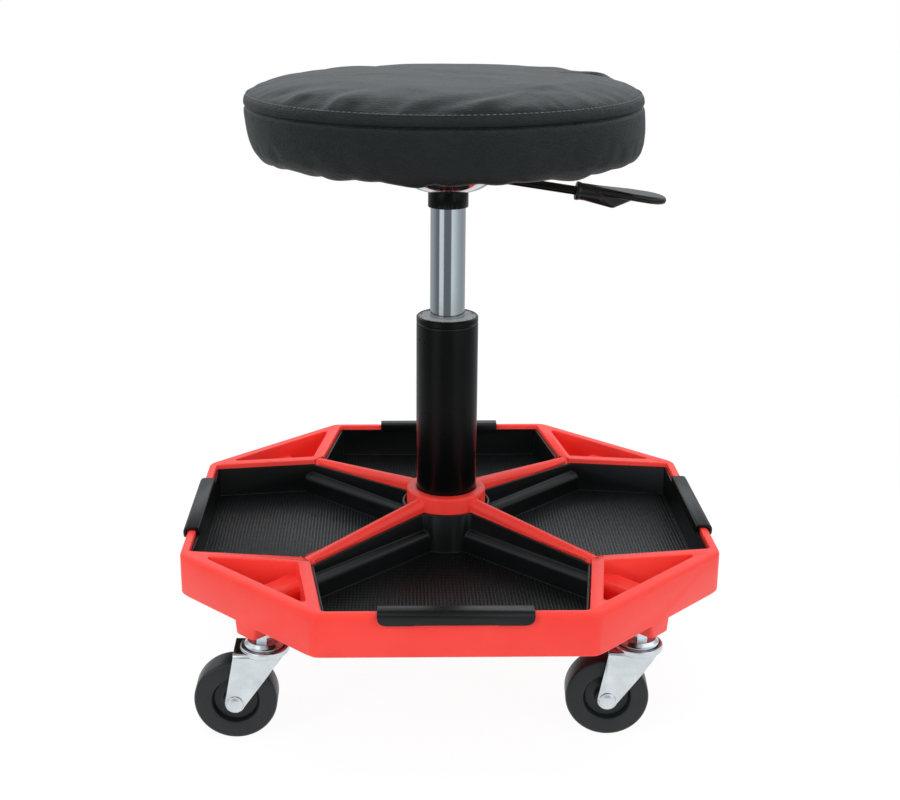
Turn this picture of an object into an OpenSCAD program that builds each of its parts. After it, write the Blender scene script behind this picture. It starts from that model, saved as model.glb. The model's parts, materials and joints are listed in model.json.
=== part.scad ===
// Rolling mechanic's stool: a moulded octagonal base with four lift-out tool trays on four
// swivel casters, a gas lift column and a round padded seat. Millimetres, +Z up, the floor
// at zero, the column on the Z axis, one tray facing -Y and the height lever along +X.

/* [Base moulding] */
// Width of the base across opposite tray sides
base_w = 420.5; // [400:0.5:440]
// Length of each tray side of the octagon
side_len = 203.5; // [196:0.5:214]
// Height of the outer wall
apron_h = 34; // [31:1:45]
// Width of the rim's top along a tray side
rim_w = 7; // [6:0.5:10]
// Width of the rim's top along a corner side
corner_rim_w = 10; // [8:0.5:12]
// Rounding of the rim's outer top edge
edge_r = 3; // [1.5:0.5:4]
// Rounding of the octagon's upright corners
corner_r = 12; // [8:1:25]
// Thickness of the moulding's floor
floor_t = 2.5; // [2:0.1:3.5]
// Thickness of the moulding's walls
wall_t = 2.5; // [2:0.1:3]
// Width of the arms between a tray and a corner pocket
arm_w = 9.5; // [8:0.5:12]
// Width of the four diagonal ribs
rib_w = 12; // [10:0.5:14]
// Rise of the ribs from the rim to the hub
rib_rise = 13; // [6:0.5:15]
// Half the width of a tray opening at its widest
well_half = 108; // [100:1:112]
// Half the width of a tray opening at the rim
well_rim_half = 95.5; // [88:0.5:98]
// Width of the legs under the ribs
leg_w = 24.4; // [22:0.2:28]
// Depth of the legs' top below the rim
leg_drop = 12.5; // [11:0.5:16]
// Rounding of the legs' shoulders
leg_r = 6.5; // [3:0.5:8]
// Depth of the legs below the floor
leg_below = 6; // [3:0.5:9]

/* [Hub] */
// Diameter of the hub's top ring
ring_d = 65.6; // [62:0.2:70]
// Thickness of the wall between the ring and a tray opening
skirt_t = 1.2; // [1:0.1:5]
// Rise of the hub's ring above the rim
ring_rise = 16.5; // [14:0.5:22]
// Depth of the hub below the floor
hub_below = 7; // [4:0.5:10]

/* [Trays] */
// Clearance between a tray and its opening
tray_gap = 0.6; // [0.3:0.1:1.2]
// Thickness of a tray's walls
tray_t = 2; // [1.6:0.1:2.6]
// Thickness of a tray's floor
tray_floor_t = 2.2; // [1.6:0.1:3]
// Depth of a tray's edge below the rim and ribs
tray_drop = 3.5; // [2:0.5:6]
// Rise of a tray's edge at the hub above the rim
tray_hub_rise = 4; // [2:0.5:6]
// Length of a tray's handle
lip_len = 112; // [80:1:140]
// Thickness of a tray's handle
lip_t = 2.5; // [2:0.1:3.5]
// Rise of the handle above the rim
lip_rise = 3; // [3:0.5:12]
// Gap between the handle and the outer wall
lip_gap = 0.5; // [0.4:0.1:4]
// Depth to which the handle hangs below the rim
lip_hang = 7.5; // [5:0.5:14]

/* [Gas lift] */
// Outer diameter of the column tube
tube_d = 50; // [48:0.5:51]
// Thickness of the column tube
tube_wall = 1.8; // [1.5:0.1:2.2]
// Half angle of the tube's press-fit taper, degrees
taper_angle = 1.44; // [1.2:0.02:1.6]
// Height above the hub at which the taper begins
taper_above = 17; // [10:1:30]
// Outer diameter of the gas cylinder
cylinder_d = 28; // [27:0.5:29]
// Thickness of the gas cylinder
cylinder_wall = 2; // [1.6:0.1:2.4]
// Length of the cylinder that shows at full height
lift_out = 88.4; // [84:0.2:100]
// Travel of the seat from full height down
stroke = 80; // [60:1:82]
// Diameter of the piston rod
rod_d = 10; // [8:0.5:12]
// Length of the guide bush
bush_len = 75; // [50:1:85]

/* [Seat] */
// Height of the seat's top above the floor, with the lift right up
seat_top_z = 486; // [476:0.5:520]
// Largest diameter of the seat
seat_d = 309.6; // [300:0.2:340]
// Height of the seam above the seat board's underside
seam_rise = 38; // [32:1:46]
// Rise of the crown above the seam
crown_h = 22; // [14:1:30]
// Thickness of the cover
cover_t = 1.4; // [1.2:0.1:2]
// Thickness of the seat board
board_t = 12; // [10:0.5:14]
// Width of the cover's hem under the board
hem_w = 19; // [14:1:26]
// Diameter of the seat plate
plate_d = 168; // [160:1:190]
// Thickness of the seat plate
plate_t = 1.8; // [1.5:0.1:2.2]
// Depth of the seat plate's dish
dish_h = 27.7; // [27:0.1:34]
// Diameter of the socket that holds the cylinder
socket_d = 32; // [31.5:0.5:34]
// Length of the socket below the seat plate
socket_h = 13; // [8:0.5:18]

/* [Height lever] */
// Slope of the lever below level, degrees
lever_slope = 8.9; // [7:0.1:10]
// Distance from the column's axis to the lever's pivot
pivot_x = 22; // [21:0.5:24]
// Diameter of the lever's rod
lever_rod_d = 7; // [6:0.5:9]
// Length from the pivot to the grip
grip_start = 79; // [70:1:90]
// Length from the pivot to the lever's tip
lever_reach = 151.4; // [140:1:165]
// Diameter of the grip's socket
grip_d = 13.6; // [13:0.2:16]
// Width of the grip's paddle
paddle_w = 31; // [26:1:34]
// Thickness of the grip's paddle
paddle_t = 6; // [4:0.5:7]

/* [Casters] */
// Diameter of the wheels
wheel_d = 63.5; // [58:0.5:66]
// Width of the wheels
wheel_w = 23; // [20:0.5:24]
// Distance from the swivel axis back to the axle
trail = 22.7; // [22:0.1:26]
// Height of the fork's top above the axle
fork_rise = 41; // [40:0.5:50]
// Thickness of the fork's plate
fork_t = 2.5; // [2:0.1:3]
// Width over the fork's legs
fork_w = 31.4; // [31:0.2:34]
// Diameter of the upper ball race
race_d = 31; // [30:0.5:34]
// Height of the upper ball race
race_h = 6.5; // [6.5:0.25:8]
// Height of the nut at the foot of the stem
stem_nut_h = 8; // [6:0.5:11]
// Diameter of the caster's threaded stem
stem_d = 10; // [9:0.5:11]
// Distance from the corner side's face in to the swivel axis
kingpin_inset = 19.5; // [18:0.5:22]
// Width of the caster socket
block_w = 21; // [21:1:26]
// Drop of the caster socket below the outer wall
block_drop = 10; // [8:0.5:14]

/* [Hidden] */
// How far a cut runs past the surface that it opens
cut = 1;
// Clearance round a turning or sliding pin
run_gap = 0.06;
// Clearance between faces that move past each other
face_gap = 0.15;
// Clearance round a soft piece
soft_gap = 0.4;

corner_names = ["front_left", "front_right", "rear_right", "rear_left"];
// Direction of each caster from the column and the way that its fork trails, degrees
corner_angles = [225, 315, 45, 135];
caster_angles = [0, -4, 9, -12];
tray_names = ["front", "right", "rear", "left"];
caster_parts = ["stem", "race", "balls", "fork", "axle", "wheel", "sleeve"];

// Heights, from the floor up
axle_z = wheel_d / 2;
fork_top_z = axle_z + fork_rise;
race_top_z = fork_top_z + race_h;
block_z = race_top_z + stem_nut_h;
apron_z = block_z + block_drop;
floor_z = apron_z + floor_t;
rim_z = apron_z + apron_h;
ring_z = rim_z + ring_rise;
hub_z = apron_z - hub_below;
leg_top_z = rim_z - leg_drop;
leg_z = apron_z - leg_below;
seam_z = seat_top_z - crown_h;
board_z = seam_z - seam_rise;
plate_z = board_z - dish_h - plate_t;
socket_z = plate_z - socket_h;
tube_top_z = socket_z - lift_out;

// Plan of the base
half_w = base_w / 2;
corner_reach = (half_w + side_len / 2) / sqrt(2);
kingpin_r = corner_reach - kingpin_inset;
rib_half = rib_w / 2;
leg_half = leg_w / 2;
rim_reach = half_w - rim_w;
// Distance from a diagonal, as a difference of coordinates, of the ribs' faces
rib_step = rib_half * sqrt(2);
yoke_r = (well_half + rib_step / 2) * sqrt(2);
ring_r = ring_d / 2;
well_hub_reach = ring_r + skirt_t;
ring_edge_r = 2.2;
// Shares of a handle's length taken by the recess in its face, at the foot and at the top
grip_wide_share = 0.28;
grip_narrow_share = 0.22;
well_corner_r = 3;
well_hub_r = 2;
well_hub_steps = 8;
pocket_r = 2;
// Under side of the moulding
boss_wall = 5;
boss_r = stem_d / 2 + boss_wall;
block_len = kingpin_inset + boss_r;
block_r = 3;
block_draft = 2;
insert_wall = 2;
insert_h = 20;
insert_r = stem_d / 2 + insert_wall;
leg_web_pitch = 36;
rim_webs = 2;
rim_web_pitch = 36;

// Gas lift
tube_r = tube_d / 2;
taper_z = ring_z + taper_above;
tube_z = hub_z;
tube_foot_r = tube_r - (taper_z - tube_z) * tan(taper_angle);
tube_lip = 0.9;
tube_foot_t = 3;
crimp_drop = 6;
crimp_depth = 0.35;
crimp_w = 1;
dimple_drop = 18;
dimple_r = 1.6;
dimple_depth = 0.5;
bush_flange_t = 3;
bush_r = tube_r - tube_wall - run_gap;
slot_count = 12;
slot_w = 3.4;
slot_t = 1.3;
cylinder_r = cylinder_d / 2;
bore_r = cylinder_r - cylinder_wall;
rod_r = rod_d / 2;
race_t = 1.5;
race_w = 8;
ball_r = 2.4;
thrust_ball_count = 12;
thrust_out_r = rod_r + race_w;
thrust_r = (rod_r + thrust_out_r) / 2;
rod_collar_w = 3;
rod_collar_h = 3;
buffer_h = 12;
clip_t = 1.6;
clip_w = 4;
clip_r = rod_r + clip_w;
groove_depth = 0.8;
rod_tail = 1.7;
rod_head = 2;
gland_h = 15;
piston_h = 12;
piston_gap = 5;
seal_w = 3.6;
seal_depth = 2;
thrust_z = tube_z + tube_foot_t;
thrust_top_z = thrust_z + 2 * race_t + 2 * ball_r + 2 * run_gap;
buffer_z = thrust_top_z + rod_collar_h;
// The cylinder's foot stays clear of the buffer with the seat right down
buffer_gap = 5;
cylinder_z = buffer_z + buffer_h + stroke + buffer_gap;
gland_top_z = cylinder_z + gland_h;
piston_z = gland_top_z + piston_gap;
plug_h = 10;
valve_r = 3;
valve_stand = 3;
valve_head_r = 5;
valve_head_h = 3;

// Seat plate, its socket and the lever
socket_r = socket_d / 2;
socket_above = 6.3;
dish_foot_w = 2;
dish_foot_r = socket_r + dish_foot_w;
dish_edge_r = 68;
dish_steps = 14;
plate_r = plate_d / 2;
screw_circle_r = (dish_edge_r + plate_r) / 2;
screw_count = 4;
screw_r = 3;
screw_head_r = 5.5;
screw_head_h = 3.4;
tee_r = 4.2;
tee_flange_r = 9;
tee_flange_t = 1.2;
tee_short = 2;
// The lever's eye presses the valve pin when the grip is pulled up
eye_h = 10;
eye_t = 6;
eye_back = 8;
eye_front = 12;
eye_r = 1;
pin_r = 2.5;
pin_head_r = 4;
pin_head_t = 1.5;
cheek_t = 2;
cheek_r = 2;
press_gap = valve_r * tan(lever_slope) + face_gap;
cylinder_top_z = plate_z + socket_above;
valve_top_z = cylinder_top_z + valve_stand;
pivot_z = valve_top_z + press_gap + eye_h / 2 / cos(lever_slope) - pivot_x * tan(lever_slope);
lever_slot_gap = 2.6;
lever_slot_r = lever_rod_d / 2 + lever_slot_gap;
grip_ring_h = 3;
grip_ring_step = 0.6;
grip_socket_len = 20;
paddle_sink = 0.5;
keel_w = 7;
keel_h = 9.5;
keel_len = 11;

// Seat cushion
seat_r = seat_d / 2;
band_bulge = 0.6;
seam_r = seat_r - band_bulge;
draw_in = 4;
turn_r = 3;
gather_h = 1.3;
board_inset = 1;
cover_sides = 60;
board_r = seam_r - draw_in - cover_t - soft_gap - board_inset;
foam_z = board_z + board_t + tee_flange_t + soft_gap;
// Shares of the radius and of the crown's rise along its section: a shallow dome, then a shoulder
crown_shares = [[0.3, 0.98], [0.55, 0.93], [0.76, 0.83], [0.885, 0.69], [0.95, 0.52], [0.985, 0.36]];
band_shares = [0, 0.28, 0.6, 0.85];

// Casters
wheel_r = wheel_d / 2;
fork_half = fork_w / 2;
axle_r = 4;
axle_head_r = 6.5;
axle_head_h = 1.8;
sleeve_wall = 1.2;
sleeve_r = axle_r + sleeve_wall;
hub_boss_r = 9;
recess_r = 18;
recess_depth = 5.5;
recess_slope = 1.5;
tread_r = 3;
leg_end_r = 7.5;
fork_bend_r = 3;
fork_tail = 0.5;
kingpin_d = 9;
kingpin_head_r = 7.5;
kingpin_head_h = 2.6;
nut_w = 14;
caster_ball_r = 2.9;
caster_ball_count = 11;
caster_ball_circle = 10.7;
race_lift = 0.8;
race_flat_r = 13;
race_dish = 2.5;
ridge_r = 18.6;
ridge_h = 3.4;
ridge_w = 2.2;
ridge_edge = 0.8;
ridge_rise = 2;
ridge_sink = 0.2;

// Point where the line through p along u crosses the line through q along v
function meet(p, u, q, v) = p + u * cross(q - p, v) / cross(u, v);
function unit(v) = v / norm(v);
// Point p moved by d to the left of the direction u
function beside(p, u, d) = p + d * [-u.y, u.x] / norm(u);

// Arc of radius r that rounds the corner b between a and c
function corner_arc(a, b, c, r, steps) =
    let (u = unit(a - b), v = unit(c - b), d = max(-1, min(1, u * v)), half = acos(d) / 2,
         o = b + unit(u + v) * r / sin(half), p = b + u * r / tan(half) - o,
         turn = (cross(u, v) > 0 ? -1 : 1) * acos(-d), start = atan2(p.y, p.x))
    [for (i = [0:steps]) o + r * [cos(start + turn * i / steps), sin(start + turn * i / steps)]];

// Closed outline with the corner radius rs[i] at each point; a radius of zero stays sharp
function rounded(pts, rs, steps = 4) =
    let (n = len(pts))
    [for (i = [0:n - 1]) each (rs[i] == 0 ? [pts[i]]
        : corner_arc(pts[(i + n - 1) % n], pts[i], pts[(i + 1) % n], rs[i], steps))];

function same(value, count) = [for (i = [1:count]) value];

// Octagon of the base, drawn in by e along the tray sides and by ec along the corner sides
function octagon(e, ec) =
    let (w = half_w - e, s = sqrt(2) * (corner_reach - ec) - w)
    [[s, -w], [w, -s], [w, s], [s, w], [-s, w], [-w, s], [-w, -s], [-s, -w]];

// Opening of the front tray, drawn in by e, with its hub end curved round the column
function well(e) =
    let (a = [well_rim_half, -rim_reach], b = [well_half, -well_half - rib_step],
         up = b - a, along = [-1, 1], step = rib_step + e * sqrt(2), r = well_hub_reach + e,
         a1 = meet([0, -rim_reach + e], [1, 0], beside(a, up, e), up),
         b1 = meet(beside(a, up, e), up, beside(b, along, e), along),
         x = (sqrt(2 * r * r - step * step) - step) / 2, end = atan2(x, x + step))
    concat([a1, b1],
        [for (i = [0:well_hub_steps]) let (t = end * (1 - 2 * i / well_hub_steps))
            [r * sin(t), -r * cos(t)]],
        [[-b1.x, b1.y], [-a1.x, a1.y]]);

function well_outline(e) = rounded(well(e),
    let (r = max(0.5, well_corner_r - e))
    concat([r, r, well_hub_r], same(0, well_hub_steps - 1), [well_hub_r, r, r]));

// Corner pocket between two trays, at the front right, drawn in by e
function pocket(e) =
    let (a = [well_rim_half, -rim_reach], b = [well_half, -well_half - rib_step], up = b - a,
         wall = beside(a, up, -arm_w - e), d = (corner_reach - corner_rim_w - e) * sqrt(2),
         inner = meet(wall, up, [0, 0], [1, -1]), outer = meet(wall, up, [d, 0], [1, 1]))
    [inner, outer, [-outer.y, -outer.x]];

// Section through a leg, grown by e, from the height z up; the width runs along X
function leg_section(e, z) =
    let (w = leg_half + e, t = leg_top_z + e, r = leg_r + e)
    rounded([[-w, z], [w, z], [w, t], [-w, t]], [0, 0, r, r], 5);

module at_quarters() for (i = [0:3]) rotate(90 * i) children();
module at_corners() for (a = corner_angles) rotate(a) children();

// Bar along +X from one reach to another, with its section given across the bar
module bar(from, to, section)
    translate([from, 0, 0]) rotate([90, 0, 90]) linear_extrude(to - from) polygon(section);

// Solid through a list of [outline, height] levels whose outlines have the same count
module stack(levels) {
    n = len(levels[0][0]);
    m = len(levels);
    polyhedron([for (l = levels) for (p = l[0]) [p.x, p.y, l[1]]],
        concat([[for (i = [0:n - 1]) i]],
            [for (k = [0:m - 2]) for (i = [0:n - 1]) let (j = (i + 1) % n)
                [k * n + i, (k + 1) * n + i, (k + 1) * n + j, k * n + j]],
            [[for (i = [n - 1:-1:0]) (m - 1) * n + i]]));
}

// Top limit of the tray edges, falling from the hub to the joint of rib and arms
module under_ribs()
    rotate_extrude($fn = 96) polygon([[0, 0], [base_w, 0], [base_w, rim_z - tray_drop],
        [yoke_r, rim_z - tray_drop], [ring_r, rim_z + tray_hub_rise], [0, rim_z + tray_hub_rise]]);

// Red moulding
module apron() {
    function level(e) = rounded(octagon(e, e), same(corner_r, 8), 3);
    stack(concat(
        [[level(edge_r / 4), apron_z], [level(0), apron_z + edge_r / 2]],
        [for (a = [0:30:90]) [level(edge_r * (1 - cos(a))), rim_z - edge_r * (1 - sin(a))]]));
}

module well_cut() translate([0, 0, floor_z]) linear_extrude(ring_z) polygon(well_outline(0));

// Room over a rib between two trays, where the arched rib is put back
module rib_cut() {
    b = [well_half, -well_half - rib_step];
    translate([0, 0, floor_z]) linear_extrude(ring_z)
        polygon([[0, 0], [0, -rib_step], b, [-b.y, -b.x], [rib_step, 0]]);
}

module pocket_cut() translate([0, 0, floor_z]) linear_extrude(ring_z)
    polygon(rounded(pocket(0), same(pocket_r, 3)));

module leg() {
    bar(0, corner_reach - corner_rim_w / 2, leg_section(0, floor_z - floor_t / 2));
    bar(0, corner_reach - block_len,
        [[-leg_half, leg_z], [leg_half, leg_z], [leg_half, floor_z], [-leg_half, floor_z]]);
}

// Rib with an arched top that climbs from the arms to the hub
module rib() {
    rise = atan2(rib_rise, yoke_r - ring_r);
    arch = [for (a = [0:20:180]) rib_half * [cos(a), sin(a)]];
    translate([yoke_r, 0, rim_z - rib_half]) rotate([0, rise, 0])
        bar(-yoke_r + rib_half, rib_half,
            concat([[-rib_half, -leg_drop], [rib_half, -leg_drop]], arch));
}

// Groove under the rim and the arms that leaves an even wall, with cross webs kept
module rim_groove() translate([0, 0, apron_z - cut])
    linear_extrude(apron_h + cut - edge_r - wall_t / 2) difference() {
        polygon(octagon(wall_t, wall_t));
        at_quarters() {
            polygon(well(-wall_t));
            polygon(pocket(-wall_t));
            for (x = [-rim_webs:rim_webs]) translate([rim_web_pitch * x - wall_t / 2, -half_w])
                square([wall_t, rim_w]);
        }
        at_corners() translate([0, -leg_half]) square([corner_reach, leg_w]);
        circle(r = well_hub_reach, $fn = 64);
    }

module hub() rotate_extrude($fn = 96) polygon(concat(
    [[0, hub_z], [ring_r, hub_z]],
    [for (a = [0:30:90]) [ring_r - ring_edge_r * (1 - cos(a)), ring_z - ring_edge_r * (1 - sin(a))]],
    [[0, ring_z]]));

// Caster socket under a corner, a little wider at its root
module caster_block() {
    function plan(e) = let (w = block_w / 2 + e, from = corner_reach - block_len)
        rounded([[from, -w], [corner_reach, -w], [corner_reach, w], [from, w]], [0, block_r, block_r, 0]);
    stack([[plan(0), block_z], [plan(block_draft), floor_z]]);
}

// Hollow under a leg, left open below, with the caster boss and the cross webs kept
module leg_hollow() {
    inner = -wall_t;
    difference() {
        union() {
            bar(well_hub_reach + wall_t, corner_reach - block_len, leg_section(inner, leg_z - cut));
            bar(kingpin_r, corner_reach - corner_rim_w, leg_section(inner, floor_z));
            translate([kingpin_r, -block_w / 2 + wall_t, block_z - cut])
                cube([kingpin_inset - wall_t, block_w - 2 * wall_t, floor_z - block_z + 2 * cut]);
        }
        translate([kingpin_r, 0, block_z]) cylinder(r = boss_r, h = apron_h + block_drop, $fn = 48);
        for (x = [well_hub_reach + leg_web_pitch:leg_web_pitch:corner_reach - block_len])
            translate([x, -leg_half, leg_z + leg_below / 2]) cube([wall_t, leg_w, apron_h]);
    }
}

module stem_bore(r, depth) translate([kingpin_r, 0, block_z - cut])
    cylinder(r = r, h = depth + cut, $fn = 48);

module taper_bore(gap) translate([0, 0, hub_z - cut])
    cylinder(r1 = tube_foot_r - cut * tan(taper_angle) + gap,
             r2 = tube_foot_r + (ring_z - hub_z + cut) * tan(taper_angle) + gap,
             h = ring_z - hub_z + 2 * cut, $fn = 96);

module tray_base() color("#e8453c") difference() {
    union() {
        difference() {
            apron();
            at_quarters() {
                well_cut();
                rib_cut();
                pocket_cut();
            }
        }
        at_corners() {
            leg();
            rib();
            caster_block();
        }
        hub();
    }
    at_corners() {
        leg_hollow();
        stem_bore(insert_r, insert_h);
    }
    rim_groove();
    taper_bore(run_gap);
}

module stem_inserts() color("#c9a24a") at_corners() difference() {
    translate([kingpin_r, 0, block_z]) cylinder(r = insert_r - run_gap, h = insert_h, $fn = 48);
    stem_bore(stem_d / 2 + run_gap, insert_h + cut);
}

// Lift-out tray, drawn at the front
module tray_shell() {
    function outline(e) = well_outline(tray_gap + e);
    difference() {
        union() {
            intersection() {
                translate([0, 0, floor_z + soft_gap / 2]) linear_extrude(ring_z) polygon(outline(0));
                difference() {
                    under_ribs();
                    translate([0, 0, tray_inner_z]) linear_extrude(ring_z) polygon(outline(tray_t));
                }
            }
            intersection() {
                translate([0, 0, floor_z + soft_gap / 2]) linear_extrude(ring_z) polygon(outline(0));
                at_corners() bar(0, corner_reach, leg_section(soft_gap + tray_t, floor_z));
            }
        }
        at_corners() bar(0, corner_reach, leg_section(soft_gap, floor_z - cut));
    }
}
tray_inner_z = floor_z + soft_gap / 2 + tray_floor_t;

// Handle that hooks over the rim, as a section carried along the tray's side
module tray_lip() {
    inside = -rim_reach + tray_gap;
    out = -half_w - lip_gap;
    top = rim_z + lip_rise;
    bend = lip_t * 1.6;
    section = rounded(
        [[inside + lip_t, rim_z - tray_drop * 1.5], [inside + lip_t, top], [out - lip_t, top],
         [out - lip_t, rim_z - lip_hang], [out, rim_z - lip_hang], [out, top - lip_t],
         [inside, top - lip_t], [inside, rim_z - tray_drop * 1.5]],
        [0, bend / 2, bend, 0, 0, bend - lip_t, 0, 0], 4);
    face = rounded([[-lip_len / 2, rim_z - lip_hang], [lip_len / 2, rim_z - lip_hang],
        [lip_len / 2, top + cut], [-lip_len / 2, top + cut]], [lip_hang * 0.75, lip_hang * 0.75, 0, 0]);
    wide = lip_len * grip_wide_share;
    narrow = lip_len * grip_narrow_share;
    recess = [[-wide, rim_z - lip_hang - cut], [wide, rim_z - lip_hang - cut],
        [narrow, rim_z - lip_hang * 0.4], [-narrow, rim_z - lip_hang * 0.4]];
    difference() {
        intersection() {
            translate([-lip_len / 2, 0, 0]) rotate([90, 0, 90]) linear_extrude(lip_len) polygon(section);
            translate([0, -rim_reach + rim_w, 0]) rotate([90, 0, 0])
                linear_extrude(lip_gap + lip_t + 4 * rim_w) polygon(face);
        }
        translate([0, out - lip_t * 0.7, 0]) rotate([90, 0, 0]) linear_extrude(lip_t) polygon(recess);
    }
}

module tray() color("#24272a") {
    tray_shell();
    tray_lip();
}

// Gas lift
module column_tube() color("#1b1c1e") difference() {
    rotate_extrude($fn = 96) polygon([
        [rod_r + run_gap, tube_z], [tube_foot_r, tube_z], [tube_r, taper_z],
        [tube_r, tube_top_z - crimp_drop - crimp_w], [tube_r - crimp_depth, tube_top_z - crimp_drop],
        [tube_r, tube_top_z - crimp_drop + crimp_w], [tube_r, tube_top_z - tube_lip],
        [tube_r - tube_lip, tube_top_z], [tube_r - tube_wall, tube_top_z],
        [tube_r - tube_wall, taper_z], [tube_foot_r - tube_wall, tube_z + tube_foot_t],
        [rod_r + run_gap, tube_z + tube_foot_t]]);
    for (a = [205, 222]) rotate(a) translate([tube_r - dimple_depth, 0, tube_top_z - dimple_drop])
        rotate([0, 90, 0]) cylinder(r1 = dimple_r / 2, r2 = dimple_r, h = dimple_depth + cut, $fn = 24);
}

module guide_bush() color("#b9bcc0") difference() {
    translate([0, 0, tube_top_z - bush_len]) cylinder(r = bush_r, h = bush_len - tube_lip / 2, $fn = 96);
    translate([0, 0, tube_top_z - bush_len - cut])
        cylinder(r = cylinder_r + run_gap, h = bush_len + 2 * cut, $fn = 96);
    for (i = [0:slot_count - 1]) rotate(360 / slot_count * (i + 0.5))
        translate([bush_r - 2 * slot_t, -slot_w / 2, tube_top_z - bush_flange_t])
            cube([slot_t, slot_w, bush_flange_t + cut]);
}

module washer(r, z, t) translate([0, 0, z]) difference() {
    cylinder(r = r, h = t, $fn = 64);
    translate([0, 0, -cut]) cylinder(r = rod_r + run_gap, h = t + 2 * cut, $fn = 64);
}

module thrust_bearing() color("#8d9196") {
    washer(thrust_out_r, thrust_z, race_t);
    for (i = [0:thrust_ball_count - 1]) rotate(360 / thrust_ball_count * i)
        translate([thrust_r, 0, thrust_z + race_t + run_gap + ball_r]) sphere(r = ball_r, $fn = 32);
}

module thrust_washer() color("#8d9196") washer(thrust_out_r, thrust_top_z - race_t, race_t - run_gap);

module rod_buffer() color("#2a2a2c") difference() {
    translate([0, 0, buffer_z + run_gap]) cylinder(r = thrust_out_r - race_t / 2, h = buffer_h, $fn = 64);
    translate([0, 0, buffer_z - cut]) cylinder(r = rod_r + run_gap, h = buffer_h + 2 * cut, $fn = 64);
}

module rod_clip() color("#6e7276") translate([0, 0, tube_z - face_gap - clip_t]) difference() {
    cylinder(r = clip_r, h = clip_t, $fn = 48);
    translate([0, 0, -cut]) cylinder(r = rod_r - groove_depth + run_gap, h = clip_t + 2 * cut, $fn = 48);
    translate([0, -rod_r + groove_depth * 1.4, -cut])
        cube([clip_r + cut, 2 * (rod_r - groove_depth * 1.4), clip_t + 2 * cut]);
}

module piston_rod() color("#c4c8cc") {
    clip_z = tube_z - face_gap - clip_t;
    rotate_extrude($fn = 64) polygon([
        [0, clip_z - rod_tail], [rod_r, clip_z - rod_tail], [rod_r, clip_z - run_gap],
        [rod_r - groove_depth, clip_z - run_gap], [rod_r - groove_depth, clip_z + clip_t + run_gap],
        [rod_r, clip_z + clip_t + run_gap], [rod_r, thrust_top_z],
        [rod_r + rod_collar_w, thrust_top_z], [rod_r + rod_collar_w, buffer_z], [rod_r, buffer_z],
        [rod_r, piston_z - run_gap], [rod_r / 2, piston_z - run_gap],
        [rod_r / 2, piston_z + piston_h + run_gap], [rod_r * 0.8, piston_z + piston_h + run_gap],
        [rod_r * 0.8, piston_z + piston_h + rod_head], [0, piston_z + piston_h + rod_head]]);
}

module piston() color("#55585c") difference() {
    translate([0, 0, piston_z]) cylinder(r = bore_r - run_gap, h = piston_h, $fn = 64);
    translate([0, 0, piston_z - cut]) cylinder(r = rod_r / 2 + run_gap, h = piston_h + 2 * cut, $fn = 64);
    translate([0, 0, piston_z + (piston_h - seal_w) / 2]) difference() {
        cylinder(r = bore_r, h = seal_w, $fn = 64);
        translate([0, 0, -cut]) cylinder(r = bore_r - seal_depth, h = piston_h, $fn = 64);
    }
}

module gas_cylinder() color("#d6d9dc") difference() {
    rotate_extrude($fn = 96) polygon([
        [0, cylinder_z], [cylinder_r - tube_lip, cylinder_z], [cylinder_r, cylinder_z + tube_lip],
        [cylinder_r, cylinder_top_z - tube_lip], [cylinder_r - tube_lip, cylinder_top_z],
        [0, cylinder_top_z]]);
    translate([0, 0, cylinder_z - cut])
        cylinder(r = bore_r, h = cylinder_top_z - plug_h - cylinder_z + cut, $fn = 96);
    translate([0, 0, cylinder_z]) cylinder(r = valve_r + run_gap, h = cylinder_top_z, $fn = 48);
}

module rod_gland() color("#3a3c3f") difference() {
    translate([0, 0, cylinder_z + run_gap]) cylinder(r = bore_r - run_gap / 2, h = gland_h, $fn = 64);
    translate([0, 0, cylinder_z - cut]) cylinder(r = rod_r + run_gap, h = gland_h + 3 * cut, $fn = 64);
}

// Pin that opens the gas valve, held under the cylinder's plug by its head
module valve_pin() color("#caa95c") {
    head_z = cylinder_top_z - plug_h - run_gap - valve_head_h;
    translate([0, 0, head_z]) cylinder(r = valve_head_r, h = valve_head_h, $fn = 48);
    translate([0, 0, head_z]) cylinder(r = valve_r, h = valve_top_z - head_z, $fn = 48);
}

// Socket with the clevis cheeks that carry the lever's pivot
module taper_socket() color("#202123") difference() {
    union() {
        translate([0, 0, socket_z]) cylinder(r = socket_r, h = cylinder_top_z - socket_z, $fn = 96);
        for (s = [-1, 1]) translate([0, s * (eye_t / 2 + face_gap + cheek_t / 2), 0])
            cheek();
    }
    translate([0, 0, socket_z - cut])
        cylinder(r = cylinder_r + run_gap, h = cylinder_top_z - socket_z + 2 * cut, $fn = 96);
    translate([pivot_x, 0, pivot_z]) rotate([90, 0, 0])
        cylinder(r = pin_r + run_gap / 2, h = 2 * socket_r, center = true, $fn = 48);
}

module cheek() rotate([90, 0, 0]) linear_extrude(cheek_t, center = true)
    polygon(rounded([
        [cylinder_r + cylinder_wall / 2, cylinder_top_z - socket_above * 0.6],
        [pivot_x + 2 * pin_r, pivot_z - 2.4 * pin_r],
        [pivot_x + 2 * pin_r, pivot_z + 2 * pin_r], [pivot_x - 2 * pin_r, pivot_z + 2 * pin_r],
        [cylinder_r + cylinder_wall / 2, cylinder_top_z]],
        [0, cheek_r / 2, cheek_r, cheek_r, 0]));

// Pressed steel plate: an S-curved dish with a flat flange
function dish_rise(s) = dish_h * s * s * (3 - 2 * s);
function dish_line(lift) = [for (i = [0:dish_steps]) let (s = i / dish_steps)
    [dish_foot_r + (dish_edge_r - dish_foot_r) * s, plate_z + dish_rise(s)
        + lift * sqrt(1 + pow(6 * s * (1 - s) * dish_h / (dish_edge_r - dish_foot_r), 2))]];

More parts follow.
